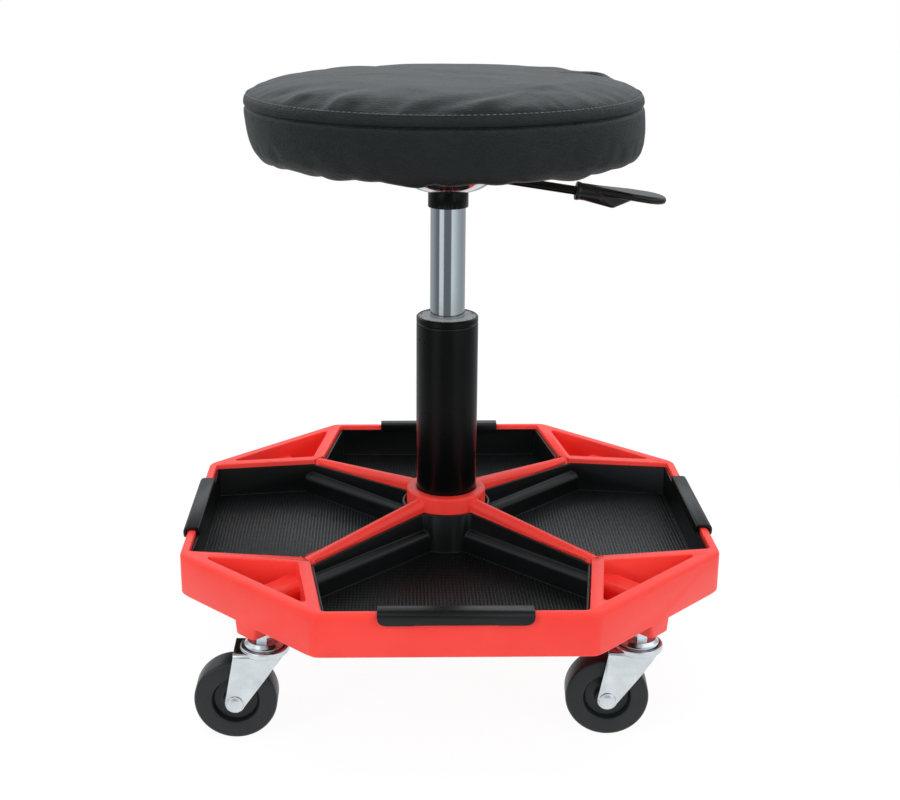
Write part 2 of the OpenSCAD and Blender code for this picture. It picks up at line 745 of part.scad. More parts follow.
module seat_plate() color("#c9cdd1") difference() {
    rotate_extrude($fn = 96) polygon(concat(
        [[socket_r + run_gap, plate_z]], dish_line(0), [[plate_r, plate_z + dish_h]],
        [[plate_r, plate_z + dish_h + plate_t]],
        [for (i = [dish_steps:-1:0]) dish_line(plate_t)[i]],
        [[socket_r + run_gap, plate_z + plate_t]]));
    translate([pivot_x, 0, pivot_z]) rotate([0, 90 + lever_slope, 0])
        translate([0, 0, eye_front / 3]) cylinder(r = lever_slot_r, h = dish_edge_r, $fn = 48);
    at_screws() translate([0, 0, plate_z]) cylinder(r = screw_r + 2 * run_gap, h = 2 * dish_h, $fn = 32);
}

module at_screws() for (i = [0:screw_count - 1]) rotate(360 / screw_count * (i + 0.5))
    translate([screw_circle_r, 0, 0]) children();

module seat_screws() color("#9a9da1") at_screws() {
    head_z = board_z - plate_t - screw_head_h;
    difference() {
        union() {
            translate([0, 0, head_z]) cylinder(r = screw_head_r, h = screw_head_h - run_gap, $fn = 32);
            translate([0, 0, head_z]) cylinder(r = screw_r, h = screw_head_h + plate_t + board_t - cut, $fn = 32);
        }
        translate([0, 0, head_z - cut]) cylinder(r = screw_r * 0.8, h = cut + screw_head_h / 2, $fn = 6);
    }
}

module tee_nuts() color("#b8a35e") at_screws() difference() {
    union() {
        translate([0, 0, board_z + tee_short]) cylinder(r = tee_r, h = board_t - tee_short, $fn = 32);
        translate([0, 0, board_z + board_t]) cylinder(r = tee_flange_r, h = tee_flange_t, $fn = 32);
    }
    translate([0, 0, board_z]) cylinder(r = screw_r + run_gap, h = 2 * board_t, $fn = 32);
}

// Lever, drawn with its pivot at the origin and its arm along +X
module at_lever() translate([pivot_x, 0, pivot_z]) rotate([0, lever_slope, 0]) children();

module lever_pin() color("#8a8e93") translate([pivot_x, 0, pivot_z]) rotate([90, 0, 0]) {
    reach = eye_t / 2 + 2 * face_gap + cheek_t;
    cylinder(r = pin_r, h = 2 * reach, center = true, $fn = 48);
    for (s = [0, 1]) mirror([0, 0, s]) translate([0, 0, reach]) cylinder(r = pin_head_r, h = pin_head_t, $fn = 48);
}

module lever_rod() color("#26282a") at_lever() difference() {
    union() {
        rotate([90, 0, 0]) linear_extrude(eye_t, center = true) polygon(rounded(
            [[-pivot_x - eye_back, -eye_h / 2], [eye_front, -eye_h / 2],
             [eye_front, eye_h / 2], [-pivot_x - eye_back, eye_h / 2]],
            [eye_h / 2.5, eye_r, eye_r, eye_h / 2.5]));
        translate([eye_front / 2, 0, 0]) rotate([0, 90, 0])
            cylinder(r = lever_rod_d / 2, h = grip_start + grip_socket_len - eye_front / 2, $fn = 48);
    }
    rotate([90, 0, 0]) cylinder(r = pin_r + run_gap, h = 2 * eye_t, center = true, $fn = 48);
}

// Disc with a rounded edge, the end of the grip's paddle
module pill(r, t) rotate_extrude($fn = 32) polygon(concat([[0, -t / 2]],
    [for (a = [-90:30:90]) [r - t / 2 * (1 - cos(a)), t / 2 * sin(a)]], [[0, t / 2]]));

// Moulded grip: a round socket that spreads into a paddle, with a keel beneath it
module lever_grip() color("#17191b") at_lever() {
    mid = grip_d / 2 - paddle_sink - paddle_t / 2;
    end_r = paddle_w / 2;
    neck = grip_start + grip_socket_len;
    difference() {
        union() {
            translate([grip_start, 0, 0]) rotate([0, 90, 0]) {
                cylinder(r = grip_d / 2, h = grip_socket_len, $fn = 64);
                cylinder(r = grip_d / 2 + grip_ring_step, h = grip_ring_h, $fn = 64);
            }
            hull() {
                translate([neck - grip_d / 4, 0, mid]) pill(grip_d / 2, paddle_t);
                translate([lever_reach - end_r - keel_len, 0, mid]) pill(end_r - paddle_sink, paddle_t);
                translate([lever_reach - end_r, 0, mid]) pill(end_r, paddle_t);
            }
            hull() {
                translate([grip_start + grip_ring_h, 0, 0]) rotate([0, 90, 0])
                    cylinder(r = grip_d / 2 - paddle_sink, h = grip_socket_len, $fn = 32);
                translate([neck + keel_len, 0, keel_w / 2 - keel_h]) sphere(r = keel_w / 2, $fn = 24);
                translate([neck + 2.5 * keel_len, 0, mid]) sphere(r = paddle_t / 2 - paddle_sink / 2, $fn = 24);
            }
        }
        translate([grip_start - cut, 0, 0]) rotate([0, 90, 0])
            cylinder(r = lever_rod_d / 2 + run_gap, h = grip_socket_len + 1.5 * cut, $fn = 48);
    }
}

// Seat
module seat_board() color("#b08a5a") difference() {
    translate([0, 0, board_z]) cylinder(r = board_r, h = board_t, $fn = 96);
    at_screws() translate([0, 0, board_z - cut]) cylinder(r = tee_r + run_gap, h = board_t + 2 * cut, $fn = 32);
}

// Outer line of the cover from the crown to the seam, then down the side band
function crown_line(in, sink) = [for (s = crown_shares)
    [(seam_r - in) * s[0], seam_z + crown_h * s[1] - sink]];
function band_line(in) = [for (t = band_shares)
    [seam_r + band_bulge * sin(180 * t) - draw_in * t * t * t - in,
     seam_z - (seam_rise - turn_r) * t - (t == 0 ? in * 0.6 : 0)]];

// Closed skin swept round the axis; the last ring but one of the hem is gathered
module seat_cover() color("#1c2022") {
    low_r = seam_r - draw_in;
    outer = concat(crown_line(0, 0), band_line(0),
        [[low_r, board_z + turn_r / 2], [low_r - turn_r, board_z - cover_t - soft_gap],
         [low_r - hem_w, board_z - cover_t - soft_gap]]);
    inner = concat([[low_r - hem_w, board_z - soft_gap], [board_r + 2 * soft_gap, board_z - soft_gap]],
        [for (i = [2, 0]) band_line(cover_t)[i]], [for (i = [5, 3, 1]) crown_line(cover_t, cover_t)[i]]);
    rings = concat(outer, inner);
    n = cover_sides;
    m = len(rings);
    gathered = len(outer) - 2;
    points = concat([[0, 0, seam_z + crown_h]],
        [for (k = [0:m - 1]) for (i = [0:n - 1]) let (a = 360 / n * i, p = rings[k],
            drop = k == gathered ? gather_h * (1 + (i % 2 == 0 ? 1 : -1)) : 0)
            [p[0] * cos(a), p[0] * sin(a), p[1] - drop]],
        [[0, 0, seam_z + crown_h - cover_t]]);
    polyhedron(points, concat(
        [for (i = [0:n - 1]) [0, 1 + (i + 1) % n, 1 + i]],
        [for (k = [0:m - 2]) for (i = [0:n - 1]) let (j = (i + 1) % n, a = 1 + k * n, b = a + n)
            each [[a + i, a + j, b + i], [a + j, b + j, b + i]]],
        [for (i = [0:n - 1]) let (a = 1 + (m - 1) * n) [a + i, a + (i + 1) % n, 1 + m * n]]));
}

module seat_foam() color("#d8c88a") rotate_extrude($fn = 72) {
    in = cover_t + 2 * soft_gap;
    side = band_line(in);
    top = crown_line(in, in);
    polygon([[0, foam_z], [board_r, foam_z], side[2], side[0], top[5], top[3], top[1],
             [0, seam_z + crown_h - in]]);
}

// Casters, drawn with the swivel axis on Z and the axle behind it along -X
module at_caster(i, turned = true) rotate(corner_angles[i]) translate([kingpin_r, 0, 0])
    rotate(turned ? caster_angles[i] - corner_angles[i] : 0) children();

module caster_stem() color("#b9bdc2") difference() {
    union() {
        translate([0, 0, fork_top_z - fork_t - face_gap - kingpin_head_h])
            cylinder(r1 = kingpin_head_r - kingpin_head_h / 2, r2 = kingpin_head_r, h = kingpin_head_h, $fn = 48);
        translate([0, 0, fork_top_z - fork_t - face_gap - cut / 2])
            cylinder(r = kingpin_d / 2, h = fork_t + race_h + cut, $fn = 48);
        translate([0, 0, race_top_z]) cylinder(r = nut_w / sqrt(3), h = stem_nut_h - run_gap, $fn = 6);
        translate([0, 0, race_top_z]) cylinder(r = stem_d / 2, h = stem_nut_h + insert_h - insert_wall, $fn = 48);
    }
}

module caster_race() color("#cfd3d7") difference() {
    rotate_extrude($fn = 64) polygon([
        [kingpin_d / 2 + run_gap, race_top_z - race_t - run_gap],
        [race_flat_r, race_top_z - race_t - run_gap],
        [race_d / 2 - race_t, race_top_z - race_dish - race_t],
        [race_d / 2 - race_t, fork_top_z + race_lift], [race_d / 2, fork_top_z + race_lift],
        [race_d / 2, race_top_z - race_dish - race_t / 2],
        [race_d / 2 - race_t / 2, race_top_z - race_dish], [race_flat_r, race_top_z - run_gap],
        [kingpin_d / 2 + run_gap, race_top_z - run_gap]]);
}

ball_z = race_top_z - race_t - 2 * run_gap - caster_ball_r;
module caster_balls() color("#e2e4e6") for (i = [0:caster_ball_count - 1])
    rotate(360 / caster_ball_count * i) translate([caster_ball_circle, 0, ball_z])
        sphere(r = caster_ball_r, $fn = 24);

// Plan of the fork, drawn in by e: straight legs joined round the front
function fork_plan(e, back) = concat([for (a = [-90:10:90]) (fork_half - e) * [cos(a), sin(a)]],
    [[-back, fork_half - e], [-back, -fork_half + e]]);

// Levels of the bent sheet's outer or inner side, the top edges rounded by the bend
function bend_levels(e, r, z, back) = concat([[fork_plan(e, back), 0]],
    [for (a = [0:22.5:90]) [fork_plan(e + r * (1 - cos(a)), back), z - r * (1 - sin(a))]]);

// Side view of the fork: tapering legs with round ends
module fork_side() {
    z = fork_top_z;
    union() {
        polygon([[-trail - fork_tail, z], [-trail - fork_tail, z - fork_bend_r],
                 [-trail - leg_end_r, axle_z + leg_end_r / 8],
                 [-trail, axle_z - leg_end_r / 2], [-trail + leg_end_r * 0.84, axle_z - leg_end_r * 0.5],
                 [fork_half * 0.42, axle_z + fork_rise * 0.69], [fork_half * 0.86, axle_z + fork_rise * 0.86],
                 [fork_half + cut, axle_z + fork_rise * 0.9], [fork_half + cut, z]]);
        translate([-trail, axle_z]) circle(r = leg_end_r, $fn = 48);
    }
}

module caster_fork() color("#d9dde0") difference() {
    union() {
        intersection() {
            difference() {
                stack(bend_levels(0, fork_bend_r, fork_top_z, trail + leg_end_r + cut));
                stack(bend_levels(fork_t, fork_bend_r - fork_t, fork_top_z - fork_t,
                    trail + leg_end_r + 2 * cut));
            }
            rotate([90, 0, 0]) linear_extrude(2 * fork_w, center = true) fork_side();
        }
        rotate_extrude($fn = 64) polygon([
            [ridge_r - 2 * ridge_w, fork_top_z - ridge_h], [ridge_r - ridge_edge, fork_top_z - ridge_h],
            [ridge_r, fork_top_z - ridge_h + ridge_edge], [ridge_r, fork_top_z + ridge_rise - ridge_edge],
            [ridge_r - ridge_edge, fork_top_z + ridge_rise], [ridge_r - ridge_w, fork_top_z + ridge_rise],
            [ridge_r - ridge_w, fork_top_z - ridge_sink], [ridge_r - 2 * ridge_w, fork_top_z - ridge_sink]]);
    }
    translate([0, 0, fork_top_z - fork_t - cut])
        cylinder(r = kingpin_d / 2 + 2 * run_gap, h = fork_t + 2 * cut, $fn = 48);
    rotate_extrude($fn = 64) translate([caster_ball_circle, ball_z])
        circle(r = caster_ball_r + run_gap, $fn = 32);
    translate([-trail, 0, axle_z]) rotate([90, 0, 0])
        cylinder(r = axle_r + run_gap / 2, h = 2 * fork_w, center = true, $fn = 48);
}

module caster_axle() color("#c3c7cb") translate([-trail, 0, axle_z]) rotate([90, 0, 0]) {
    cylinder(r = axle_r, h = fork_w + 2 * run_gap, center = true, $fn = 48);
    for (s = [0, 1]) mirror([0, 0, s]) translate([0, 0, fork_half + run_gap / 2])
        rotate_extrude($fn = 48) polygon(concat([[0, 0], [axle_head_r, 0]],
            [for (a = [20:20:80]) [axle_head_r * cos(a), axle_head_h * sin(a)]], [[0, axle_head_h]]));
}

// One half of a wheel's outline, from the bore to the tread; s is the side, 1 or -1
function wheel_line(s) = let (h = wheel_w / 2, boss = fork_half - fork_t - face_gap)
    [[sleeve_r + run_gap, s * boss], [hub_boss_r, s * boss],
     [hub_boss_r + recess_slope / 3, s * (h - recess_depth)], [recess_r - recess_slope, s * (h - recess_depth)],
     [recess_r, s * (h - recess_slope / 2)], [recess_r + recess_slope / 2, s * h], [wheel_r - tread_r, s * h],
     [wheel_r - tread_r * (1 - sin(30)), s * (h - tread_r * (1 - cos(30)))],
     [wheel_r - tread_r * (1 - sin(60)), s * (h - tread_r * (1 - cos(60)))],
     [wheel_r, s * (h - tread_r)]];

module caster_wheel() color("#1a1b1d") translate([-trail, 0, axle_z]) rotate([90, 0, 0])
    rotate_extrude($fn = 96) polygon(concat(wheel_line(1),
        let (down = wheel_line(-1)) [for (i = [len(down) - 1:-1:0]) down[i]]));

module caster_sleeve() color("#9da1a5") translate([-trail, 0, axle_z]) rotate([90, 0, 0]) {
    reach = fork_w - 2 * fork_t;
    difference() {
        cylinder(r = sleeve_r, h = reach, center = true, $fn = 48);
        cylinder(r = axle_r + run_gap, h = reach + 2 * cut, center = true, $fn = 48);
    }
}

tray_base();
for (i = [0:3]) rotate(90 * i) tray();
stem_inserts();
column_tube();
guide_bush();
thrust_bearing();
thrust_washer();
rod_buffer();
rod_clip();
piston_rod();
piston();
gas_cylinder();
rod_gland();
valve_pin();
taper_socket();
seat_plate();
lever_pin();
lever_rod();
lever_grip();
seat_board();
seat_screws();
tee_nuts();
seat_foam();
seat_cover();
for (i = [0:3]) {
    name = corner_names[i];
    at_caster(i, false) caster_stem();
    at_caster(i, false) caster_race();
    at_caster(i, false) caster_balls();
    at_caster(i) caster_fork();
    at_caster(i) caster_axle();
    at_caster(i) caster_wheel();
    at_caster(i) caster_sleeve();
}
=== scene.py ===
import json
import math

import bmesh
import bpy
from mathutils import Matrix, Vector, noise


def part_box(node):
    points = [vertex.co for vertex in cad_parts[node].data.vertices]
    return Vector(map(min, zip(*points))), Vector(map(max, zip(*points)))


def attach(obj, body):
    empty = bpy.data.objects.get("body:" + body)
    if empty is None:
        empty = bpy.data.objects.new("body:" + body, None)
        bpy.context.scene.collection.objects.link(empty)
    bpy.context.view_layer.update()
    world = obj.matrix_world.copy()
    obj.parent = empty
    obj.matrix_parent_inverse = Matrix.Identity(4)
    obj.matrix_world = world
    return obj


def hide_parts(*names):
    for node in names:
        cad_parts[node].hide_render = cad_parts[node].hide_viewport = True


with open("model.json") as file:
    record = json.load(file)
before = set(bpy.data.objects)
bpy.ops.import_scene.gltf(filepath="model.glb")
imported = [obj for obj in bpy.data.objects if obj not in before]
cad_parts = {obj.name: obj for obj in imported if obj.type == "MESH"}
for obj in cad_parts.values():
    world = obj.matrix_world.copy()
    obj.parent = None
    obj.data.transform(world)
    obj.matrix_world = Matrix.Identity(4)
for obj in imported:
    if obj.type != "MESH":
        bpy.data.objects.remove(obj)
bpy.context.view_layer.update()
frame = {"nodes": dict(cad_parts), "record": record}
nodes = frame["nodes"]
mm = 0.001  # sizes below are in millimetres, Blender's are in metres
print("frame loaded:", len(nodes), "nodes")


# The photograph's viewpoint: a short tele lens a little above the seat
cameraSetup = {
    "place": (-43.0, -1158.0, 596.2),
    "turn": 0.0121,  # radians to the right of straight ahead
    "tilt": 0.3118,  # radians below level
    "lens": 59.2,
    "shift": 0.0428,  # the photograph is cropped off centre
}


def placeCamera(setup):
    data = bpy.data.cameras.new("studioCamera")
    data.lens = setup["lens"]
    data.sensor_width = 36
    data.shift_x = setup["shift"]
    data.clip_end = 50
    camera = bpy.data.objects.new("studioCamera", data)
    camera.location = Vector(setup["place"]) * mm
    camera.rotation_euler = (math.pi / 2 - setup["tilt"], 0, -setup["turn"])
    bpy.context.collection.objects.link(camera)
    bpy.context.scene.camera = camera


placeCamera(cameraSetup)
print("camera placed")


# Colours are written as sRGB hex
def toLinear(hexText):
    channels = [int(hexText[i : i + 2], 16) / 255 for i in (0, 2, 4)]
    return tuple(c / 12.92 if c <= 0.04045 else ((c + 0.055) / 1.055) ** 2.4 for c in channels) + (1.0,)


def perMm(size):  # texture scale for a pattern that repeats about every size mm
    return 1 / (size * mm)


def addNode(tree, kind, settings=None, links=None):
    node = tree.nodes.new(kind)
    for name, value in (settings or {}).items():
        if isinstance(name, int) or name in node.inputs:
            node.inputs[name].default_value = value
        else:
            setattr(node, name, value)
    for name, source in (links or {}).items():
        tree.links.new(source, node.inputs[name])
    return node


def newFinish(name, colour, metallic, roughness, ior=None, gloss=0.5):
    material = bpy.data.materials.new(name)
    material.use_nodes = True
    tree = material.node_tree
    shader = tree.nodes["Principled BSDF"]
    shader.inputs["Base Color"].default_value = toLinear(colour)
    shader.inputs["Metallic"].default_value = metallic
    shader.inputs["Roughness"].default_value = roughness
    if ior:
        shader.inputs["IOR"].default_value = ior
    shader.inputs["Specular IOR Level"].default_value = gloss  # under 0.5 for a dull skin
    place = tree.nodes.new("ShaderNodeTexCoord").outputs["Object"]
    return material, tree, shader, place


def addMottle(tree, shader, place, size, dark, light, socket="Base Color"):
    settings = {"Scale": perMm(size), "Detail": 4.0, "Roughness": 0.6}
    spots = addNode(tree, "ShaderNodeTexNoise", settings, {"Vector": place})
    spread = {"From Min": 0.3, "From Max": 0.7}
    ramp = addNode(tree, "ShaderNodeMapRange", spread, {"Value": spots.outputs["Fac"]})
    if socket == "Base Color":
        blendNode = addNode(
            tree,
            "ShaderNodeMix",
            {"data_type": "RGBA", 6: toLinear(dark), 7: toLinear(light)},
            {0: ramp.outputs["Result"]},
        )
        tree.links.new(blendNode.outputs[2], shader.inputs[socket])
    else:
        ramp.inputs["To Min"].default_value = dark
        ramp.inputs["To Max"].default_value = light
        tree.links.new(ramp.outputs["Result"], shader.inputs[socket])


def addBump(tree, shader, height, depth, before=None):
    bump = addNode(tree, "ShaderNodeBump", {"Distance": depth * mm, "Strength": 1.0}, {"Height": height})
    if before:
        tree.links.new(before.outputs["Normal"], bump.inputs["Normal"])
    tree.links.new(bump.outputs["Normal"], shader.inputs["Normal"])
    return bump


# Moulded plastic or rubber: a mottle between dark and light under the fine grain of the mould
def moulded(name, colour, dark, light, roughness, grain, depth, gloss):
    material, tree, shader, place = newFinish(name, colour, 0.0, roughness, 1.49, gloss)
    addMottle(tree, shader, place, 45, dark, light)
    skin = addNode(tree, "ShaderNodeTexNoise", {"Scale": perMm(grain), "Detail": 3.0}, {"Vector": place})
    addBump(tree, shader, skin.outputs["Fac"], depth)
    return material, tree, shader, place


# Injection moulded polypropylene, even red with the soft shine of a sparked mould
def redPolypropylene():
    material, tree, shader, place = moulded(
        "redMouldedPolypropylene", "ee3b32", "ea3930", "f14138", 0.38, 0.9, 0.03, 0.35
    )
    shader.inputs["Subsurface Weight"].default_value = 0.08
    shader.inputs["Subsurface Radius"].default_value = (1.0, 0.25, 0.15)
    shader.inputs["Subsurface Scale"].default_value = 2 * mm
    return material


# Black moulded polypropylene with a fine crossed rib pattern pressed into the tray floor
trayFloor = {"low": 101.6, "high": 102.8, "pitch": 2.8, "depth": 0.16}


def trayPolypropylene():
    material, tree, shader, place = moulded(
        "blackMouldedPolypropylene", "070909", "060707", "0a0c0d", 0.33, 0.7, 0.03, 0.3
    )
    skin = [n for n in tree.nodes if n.type == "BUMP"][0]
    axes = addNode(tree, "ShaderNodeSeparateXYZ", {}, {"Vector": place})
    middle = (trayFloor["low"] + trayFloor["high"]) / 2 * mm
    reach = (trayFloor["high"] - trayFloor["low"]) / 2 * mm
    turns = 2 * math.pi / (trayFloor["pitch"] * mm)
    waves = []
    for axis in ("X", "Y"):
        angle = addNode(tree, "ShaderNodeMath", {"operation": "MULTIPLY", 1: turns}, {0: axes.outputs[axis]})
        wave = addNode(tree, "ShaderNodeMath", {"operation": "SINE"}, {0: angle.outputs[0]})
        waves.append(wave.outputs[0])
    crossed = addNode(tree, "ShaderNodeMath", {"operation": "MAXIMUM"}, {0: waves[0], 1: waves[1]})
    onFloor = addNode(
        tree, "ShaderNodeMath", {"operation": "COMPARE", 1: middle, 2: reach}, {0: axes.outputs["Z"]}
    )
    ribs = addNode(
        tree, "ShaderNodeMath", {"operation": "MULTIPLY"}, {0: crossed.outputs[0], 1: onFloor.outputs[0]}
    )
    addBump(tree, shader, ribs.outputs[0], trayFloor["depth"], before=skin)
    return material


# Grained vinyl leathercloth: small pebbled cells with fine creases between, a dull oiled shine
# Real pebbles are under a millimetre: they are drawn coarser so that they show
vinylGrain = {"cell": 2.0, "crease": 4.5, "cellDepth": 0.18, "creaseDepth": 0.55}


def blackVinyl():
    material, tree, shader, place = newFinish("blackGrainedVinyl", "0a1112", 0.0, 0.42, 1.5, 0.35)
    addMottle(tree, shader, place, 38, "080e0f", "0d1516")
    cells = addNode(
        tree,
        "ShaderNodeTexVoronoi",
        {"feature": "DISTANCE_TO_EDGE", "Scale": perMm(vinylGrain["cell"]), "Randomness": 0.9},
        {"Vector": place},
    )
    rounded = addNode(tree, "ShaderNodeMapRange", {"From Max": 0.25}, {"Value": cells.outputs["Distance"]})
    grain = addBump(tree, shader, rounded.outputs["Result"], vinylGrain["cellDepth"])
    # creases run round the band
    flat = addNode(tree, "ShaderNodeMapping", {"Scale": (1, 1, 3.6)}, {"Vector": place})
    crease = addNode(
        tree,
        "ShaderNodeTexNoise",
        {"Scale": perMm(vinylGrain["crease"]), "Detail": 5.0, "Roughness": 0.62},
        {"Vector": flat.outputs["Vector"]},
    )
    addBump(tree, shader, crease.outputs["Fac"], vinylGrain["creaseDepth"], before=grain)
    return material


# Polyester sewing thread, dull and slightly paler than the vinyl
def sewingThread():
    material, tree, shader, place = newFinish("blackPolyesterThread", "565d5e", 0.0, 0.5, 1.45)
    addMottle(tree, shader, place, 2, "454c4e", "666d6e")
    return material


# Stove enamel over drawn tube: deep black, half gloss, with faint orange peel
def glossEnamel():
    material, tree, shader, place = newFinish("blackGlossEnamel", "050606", 0.0, 0.26, 1.5, 0.2)
    addMottle(tree, shader, place, 60, 0.22, 0.3, "Roughness")
    peel = addNode(tree, "ShaderNodeTexNoise", {"Scale": perMm(2.2), "Detail": 1.0}, {"Vector": place})
    addBump(tree, shader, peel.outputs["Fac"], 0.02)
    return material


# Hard chrome on ground steel: a clear mirror with the faintest rings from grinding
def hardChrome():
    material, tree, shader, place = newFinish("hardChromePlate", "c3c9ce", 1.0, 0.1)
    addMottle(tree, shader, place, 50, 0.07, 0.14, "Roughness")
    rings = addNode(tree, "ShaderNodeMapping", {"Scale": (0.02, 0.02, 1)}, {"Vector": place})
    fine = {"Scale": perMm(0.6), "Detail": 2.0}
    ground = addNode(tree, "ShaderNodeTexNoise", fine, {"Vector": rings.outputs["Vector"]})
    addBump(tree, shader, ground.outputs["Fac"], 0.003)
    return material


# Bright zinc plate on pressed steel: white with a trace of blue, softened mirror
def brightZinc():
    material, tree, shader, place = newFinish("brightZincPlate", "cfd6da", 1.0, 0.24)
    addMottle(tree, shader, place, 14, "c4ccd1", "d9dfe2")
    cloud = addNode(tree, "ShaderNodeTexNoise", {"Scale": perMm(3.5), "Detail": 5.0}, {"Vector": place})
    addBump(tree, shader, cloud.outputs["Fac"], 0.03)
    return material


# Turned or ground steel, left bare
def groundSteel():
    material, tree, shader, place = newFinish("groundSteel", "a9adb1", 1.0, 0.3)
    addMottle(tree, shader, place, 8, 0.24, 0.36, "Roughness")
    return material


# Turned brass with a satin cut
def turnedBrass():
    material, tree, shader, place = newFinish("turnedBrass", "c3a35a", 1.0, 0.3)
    addMottle(tree, shader, place, 6, "b8974f", "cbae66")
    return material


# Turned aluminium, pale and satin
def turnedAluminium():
    material, tree, shader, place = newFinish("turnedAluminium", "b9bcbf", 1.0, 0.33)
    addMottle(tree, shader, place, 8, 0.28, 0.4, "Roughness")
    return material


# Moulded acetal, the pale grey guide bush
def greyAcetal():
    material, tree, shader, place = newFinish("greyMouldedAcetal", "a6abad", 0.0, 0.4, 1.48)
    addMottle(tree, shader, place, 9, "9ca1a3", "aeb3b5")
    return material


# Hard polypropylene wheel, charcoal, its tread polished by rolling
def wheelPolypropylene():
    return moulded("charcoalMouldedPolypropylene", "1a1e20", "171a1c", "1f2426", 0.4, 0.8, 0.02, 0.35)[0]


# Satin moulded nylon of the lever's grip
def gripNylon():
    return moulded("blackMouldedNylon", "0c0f10", "0a0c0d", "101415", 0.34, 0.6, 0.02, 0.4)[0]


# Moulded rubber, dull black
def blackRubber():
    return moulded("blackMouldedRubber", "0a0b0b", "080909", "0e0f0f", 0.6, 0.8, 0.03, 0.25)[0]


# Birch plywood, sanded
def birchPlywood():
    material, tree, shader, place = newFinish("sandedBirchPlywood", "c8a777", 0.0, 0.6, 1.5)
    grain = addNode(tree, "ShaderNodeMapping", {"Scale": (1, 12, 12)}, {"Vector": place})
    addMottle(tree, shader, grain.outputs["Vector"], 40, "b99465", "d6b88b")
    return material


# Open celled polyurethane foam, hidden by the cover
def paleFoam():
    material, tree, shader, place = newFinish("openCellFoam", "d8cb9a", 0.0, 0.9, 1.4)
    cells = addNode(tree, "ShaderNodeTexVoronoi", {"Scale": perMm(1.5)}, {"Vector": place})
    addBump(tree, shader, cells.outputs["Distance"], 0.4)
    return material


finishes = {
    "red_polypropylene": redPolypropylene(),
    "tray_plastic": trayPolypropylene(),
    "grip_plastic": gripNylon(),
    "bush_plastic": greyAcetal(),
    "wheel_plastic": wheelPolypropylene(),
    "black_paint": glossEnamel(),
    "chrome": hardChrome(),
    "zinc": brightZinc(),
    "steel": groundSteel(),
    "brass": turnedBrass(),
    "aluminium": turnedAluminium(),
    "rubber": blackRubber(),
    "plywood": birchPlywood(),
    "foam": paleFoam(),
    "vinyl": blackVinyl(),
    "thread": sewingThread(),
}


def setFinish(piece, slot):
    piece.data.materials.clear()
    piece.data.materials.append(finishes[slot])


slotOf = {part["node"]: part["material_slot"] for part in frame["record"]["subparts"]}
for nodeName, nodeObject in nodes.items():
    setFinish(nodeObject, slotOf[nodeName])
print("finishes made:", len(finishes))


# Pieces: small helpers
def bodyOf(nodeName):
    for body, members in frame["record"]["behaviour"]["bodies"].items():
        if nodeName in members:
            return body


def pieceFrom(bm, name, smoothAngle=30):
    for face in bm.faces:
        face.smooth = True
    mesh = bpy.data.meshes.new(name)
    bm.to_mesh(mesh)
    bm.free()
    piece = bpy.data.objects.new(name, mesh)
    bpy.context.collection.objects.link(piece)
    if smoothAngle is not None:
        mesh.set_sharp_from_angle(angle=math.radians(smoothAngle))
    return piece


def standFor(piece, nodeName):
    setFinish(piece, slotOf[nodeName])
    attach(piece, bodyOf(nodeName))
    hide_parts(nodeName)


# Moulded and pressed edges, eased by so many millimetres
easedEdges = {
    "tray_base": 0.7,
    "front_tray": 0.6,
    "right_tray": 0.6,
    "rear_tray": 0.6,
    "left_tray": 0.6,
    "taper_socket": 0.3,
    "seat_plate": 0.3,
}
easedKinds = {"_fork": 0.35, "_wheel": 0.5}
easing = {
    "merge": 0.00004,
    "needle": 0.02,  # a triangle lower than this is a needle
    "flat": 0.2,  # degrees between faces that count as one
    "sharp": 28,  # degrees from which an edge is eased
    "share": 0.42,  # of a neighbouring edge that may be used up
    "least": 0.1,  # share of the width under which an edge stays sharp
    "inLine": -0.9,  # cosine under which two edges are one longer line of short edges, which is no bar
}


# Width that an edge can be eased by before it runs into its neighbours
def roomToEase(edge, width):
    room = width
    for vert in edge.verts:
        if not all(near.is_manifold for near in vert.link_edges):
            return 0.0
        ahead = (edge.other_vert(vert).co - vert.co).normalized()
        for near in vert.link_edges:
            away = (near.other_vert(vert).co - vert.co).normalized()
            if near is not edge and ahead.dot(away) > easing["inLine"]:
                room = min(room, easing["share"] * near.calc_length() / mm * ahead.cross(away).length)
    return room


# A needle of a triangle has no direction of its own: it joins the face across its long side
def joinNeedles(bm):
    longSides = set()
    for face in bm.faces:
        side = max(face.edges, key=lambda edge: edge.calc_length())
        if side.is_manifold and 2 * face.calc_area() < easing["needle"] * mm * side.calc_length():
            longSides.add(side)
    inOrder = [edge for edge in bm.edges if edge in longSides]  # a set's own order changes from run to run
    bmesh.ops.dissolve_edges(bm, edges=inOrder, use_verts=False, use_face_split=False)


# A moulded or pressed part's own solid with its edges eased, as its mould leaves them
def easedCopy(nodeName, width):
    bm = bmesh.new()
    bm.from_mesh(nodes[nodeName].data)
    bmesh.ops.remove_doubles(bm, verts=bm.verts, dist=easing["merge"] * mm)
    joinNeedles(bm)
    bmesh.ops.dissolve_limit(
        bm,
        angle_limit=math.radians(easing["flat"]),
        verts=bm.verts,
        edges=bm.edges,
        use_dissolve_boundaries=False,
    )
    weight = bm.edges.layers.float.new("bevel_weight_edge")
    for edge in bm.edges:
        sharp = edge.is_manifold and edge.calc_face_angle(0) > math.radians(easing["sharp"])
        room = roomToEase(edge, width) if sharp else 0.0
        edge[weight] = room / width if room > easing["least"] * width else 0.0
        edge.smooth = edge[weight] > 0 or not sharp
    piece = pieceFrom(bm, nodeName + "Eased", None)
    ease = piece.modifiers.new("ease", "BEVEL")
    ease.limit_method = "WEIGHT"
    ease.width = width * mm
    ease.segments = 2
    ease.use_clamp_overlap = False
    ease.harden_normals = True
    standFor(piece, nodeName)


